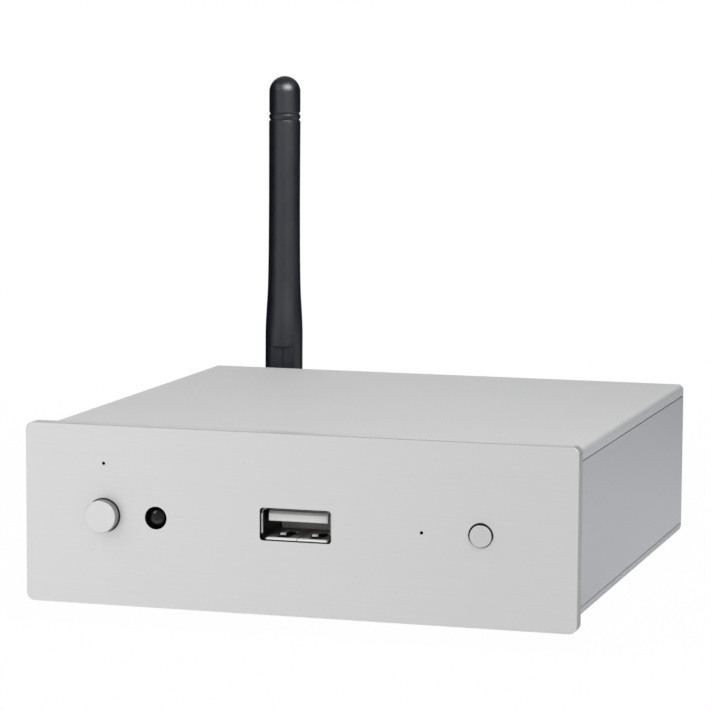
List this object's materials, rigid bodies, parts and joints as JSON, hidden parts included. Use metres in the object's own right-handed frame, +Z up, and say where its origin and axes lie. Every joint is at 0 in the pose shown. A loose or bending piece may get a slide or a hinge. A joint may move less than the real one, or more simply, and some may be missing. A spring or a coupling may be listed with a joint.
{
  "type": "network music streamer",
  "caption": "Small box-shaped network music streamer with a thick brushed front plate, push buttons, a USB socket, rear audio and network sockets and a hinged, swivelling aerial.",
  "frame": {"origin": "on the table under the middle of the whole thing", "axes": "+X to the right seen from the front, +Y from the front plate to the back, +Z up"},
  "size_m": [0.103, 0.1254, 0.0968],
  "materials": {
    "brushed_aluminium": "fine level brushing, clear anodised",
    "button_aluminium": "turned and clear anodised",
    "blasted_aluminium": "fine blasted, clear anodised",
    "satin_aluminium": "smooth satin anodised",
    "zinc_steel": "zinc plated",
    "plated_steel": "nickel plated",
    "gold_plate": "gold plated",
    "black_paint": "satin black paint",
    "black_plastic": "moulded, fine grain",
    "grey_plastic": "moulded, smooth",
    "white_plastic": "moulded, smooth",
    "red_plastic": "moulded, smooth",
    "clear_plastic": "clear moulded",
    "dark_gloss": "dark infrared-clear, polished",
    "circuit_board": "glass-fibre board with solder mask",
    "capacitor_sleeve": "shrink sleeve",
    "foot_rubber": "matt",
    "aerial_plastic": "satin moulded"
  },
  "bodies": {
    "case": {"front_plate": "brushed_aluminium", "front_bracket": "zinc_steel", "bracket_screws": "zinc_steel", "plate_studs": "zinc_steel", "plate_nuts": "zinc_steel", "top_cover": "blasted_aluminium", "base_cover": "blasted_aluminium", "left_wall": "satin_aluminium", "right_wall": "satin_aluminium", "rear_panel": "black_paint", "rear_screws": "zinc_steel", "foot_front_left": "foot_rubber", "foot_front_right": "foot_rubber", "foot_rear_left": "foot_rubber", "foot_rear_right": "foot_rubber", "power_switch": "black_plastic", "source_switch": "black_plastic", "infrared_window": "dark_gloss", "infrared_receiver": "dark_gloss", "power_light_guide": "clear_plastic", "source_light_guide": "clear_plastic", "indicator_lights": "white_plastic", "usb_shell": "plated_steel", "usb_tongue": "white_plastic", "usb_contacts": "gold_plate", "main_board": "circuit_board", "streaming_module": "circuit_board", "module_shield": "plated_steel", "module_headers": "black_plastic", "capacitors": "capacitor_sleeve", "chips": "black_plastic", "inductor_block": "black_plastic", "network_socket": "black_plastic", "network_contacts": "gold_plate", "optical_housing": "black_plastic", "rca_block": "black_plastic", "rca_barrel_left": "gold_plate", "rca_barrel_right": "gold_plate", "rca_insert_left": "red_plastic", "rca_insert_right": "white_plastic", "rca_screw": "zinc_steel", "power_inlet": "black_plastic", "power_inlet_pin": "plated_steel", "aerial_socket": "gold_plate", "aerial_washer": "gold_plate", "aerial_nut": "gold_plate", "aerial_lead": "black_plastic", "aerial_coupling": "gold_plate"},
    "power_key": {"power_button": "button_aluminium", "power_plunger": "black_plastic"},
    "source_key": {"source_button": "button_aluminium", "source_plunger": "black_plastic"},
    "shutter": {"optical_shutter": "grey_plastic"},
    "aerial_base": {"aerial_elbow": "aerial_plastic"},
    "aerial_whip": {"aerial_sleeve": "aerial_plastic", "aerial_hinge_pin": "plated_steel"}
  },
  "joints": [
    {"name": "power_press", "type": "slide", "parent": "case", "child": "power_key", "axis": [0, 1, 0], "range_m": [0, 0.0005], "stiffness_N_per_m": 1500},
    {"name": "source_press", "type": "slide", "parent": "case", "child": "source_key", "axis": [0, 1, 0], "range_m": [0, 0.0004], "stiffness_N_per_m": 1500},
    {"name": "shutter_swing", "type": "hinge", "parent": "case", "child": "shutter", "pos_m": [-0.00505, 0.03905, 0.02685], "axis": [-1, 0, 0], "range_deg": [0, 90], "stiffness_Nm_per_rad": 0.0005},
    {"name": "aerial_swivel", "type": "hinge", "parent": "case", "child": "aerial_base", "pos_m": [-0.0404, 0.0513, 0.0219], "axis": [0, 1, 0], "continuous": true},
    {"name": "aerial_tilt", "type": "hinge", "parent": "aerial_base", "child": "aerial_whip", "pos_m": [-0.0404, 0.05867, 0.0219], "axis": [-1, 0, 0], "range_deg": [0, 90]}
  ]
}
